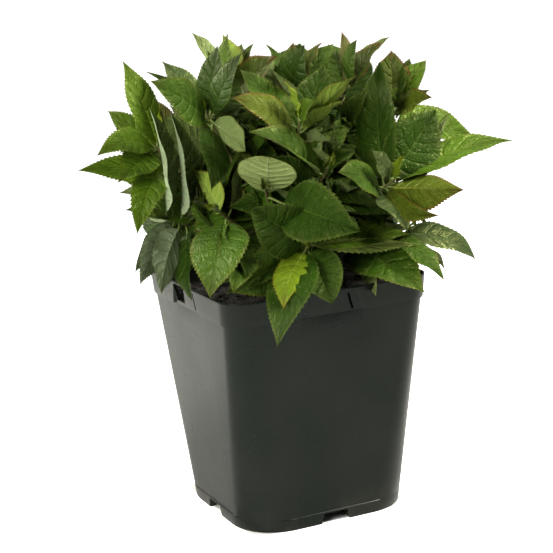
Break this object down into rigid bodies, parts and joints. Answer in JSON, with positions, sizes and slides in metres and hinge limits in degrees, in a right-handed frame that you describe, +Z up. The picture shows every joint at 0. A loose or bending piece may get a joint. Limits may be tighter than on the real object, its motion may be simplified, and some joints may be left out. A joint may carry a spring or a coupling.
{
  "type": "hydrangea shrub in a pot",
  "caption": "Young leafy hydrangea shrub, not in flower, in a tapering square black nursery pot.",
  "frame": {"origin": "middle of the pot's flat underside", "axes": "+Z up; -Y and -X are the faces of the pot that the front view shows"},
  "size_m": [0.3365, 0.3435, 0.4071],
  "materials": {
    "pot_plastic": "satin moulded black plastic, faint green cast",
    "soil": "dark crumbly potting mix",
    "stem": "thin brown bark",
    "shoot": "smooth olive green bark, reddish at the joints",
    "foliage": "satin green leaves with paler undersides"
  },
  "bodies": {
    "root": {"pot": "pot_plastic", "soil": "soil", "stem_front": "stem", "stem_right": "stem", "stem_back_right": "stem", "stem_back": "stem", "stem_back_left": "stem", "stem_left": "stem", "stem_middle": "stem", "bough_front_centre": "shoot", "bough_front_left": "shoot", "bough_low_left": "shoot", "bough_left": "shoot", "bough_top_left": "shoot", "bough_top_back_left": "shoot", "bough_top_middle": "shoot", "bough_top_right": "shoot", "bough_upper_right": "shoot", "bough_centre_upper": "shoot", "bough_centre_middle": "shoot", "bough_centre_left": "shoot", "bough_right": "shoot", "bough_low_right": "shoot", "bough_side_right": "shoot", "bough_low_back_right": "shoot", "bough_back_right": "shoot", "bough_top_back": "shoot", "bough_low_back": "shoot", "bough_back": "shoot", "bough_back_left": "shoot", "bough_low_back_left": "shoot", "bough_side_left": "shoot", "foliage_front_centre": "foliage", "foliage_front_left": "foliage", "foliage_low_left": "foliage", "foliage_left": "foliage", "foliage_top_left": "foliage", "foliage_top_back_left": "foliage", "foliage_top_middle": "foliage", "foliage_top_right": "foliage", "foliage_upper_right": "foliage", "foliage_centre_upper": "foliage", "foliage_centre_middle": "foliage", "foliage_centre_left": "foliage", "foliage_right": "foliage", "foliage_low_right": "foliage", "foliage_side_right": "foliage", "foliage_low_back_right": "foliage", "foliage_back_right": "foliage", "foliage_top_back": "foliage", "foliage_low_back": "foliage", "foliage_back": "foliage", "foliage_back_left": "foliage", "foliage_low_back_left": "foliage", "foliage_side_left": "foliage"}
  },
  "joints": []
}
